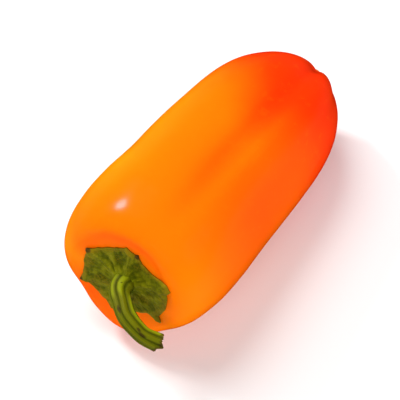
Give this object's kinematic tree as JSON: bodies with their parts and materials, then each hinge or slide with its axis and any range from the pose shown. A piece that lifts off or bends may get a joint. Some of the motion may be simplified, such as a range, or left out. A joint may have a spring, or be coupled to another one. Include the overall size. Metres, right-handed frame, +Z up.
{
  "type": "mini sweet pepper",
  "caption": "Small blunt-tipped sweet pepper lying on its side, with soft lobes and furrows, a flat pointed calyx at the shoulder and a short curved ribbed stem.",
  "frame": {"origin": "middle of the small flat spot on the pod's belly that the pepper rests on, at floor height", "axes": "+Z up, +X along the pod from the stem end towards the blossom end, which points a little down"},
  "size_m": [0.0922, 0.0408, 0.0404],
  "materials": {
    "pod_skin": "glossy waxy skin, warm orange turning redder towards the blossom end",
    "calyx_green": "dull dark green leaf with brownish points",
    "stem_green": "satin green ribbed stem"
  },
  "bodies": {
    "root": {"pod": "pod_skin", "calyx": "calyx_green", "stem": "stem_green"}
  },
  "joints": []
}
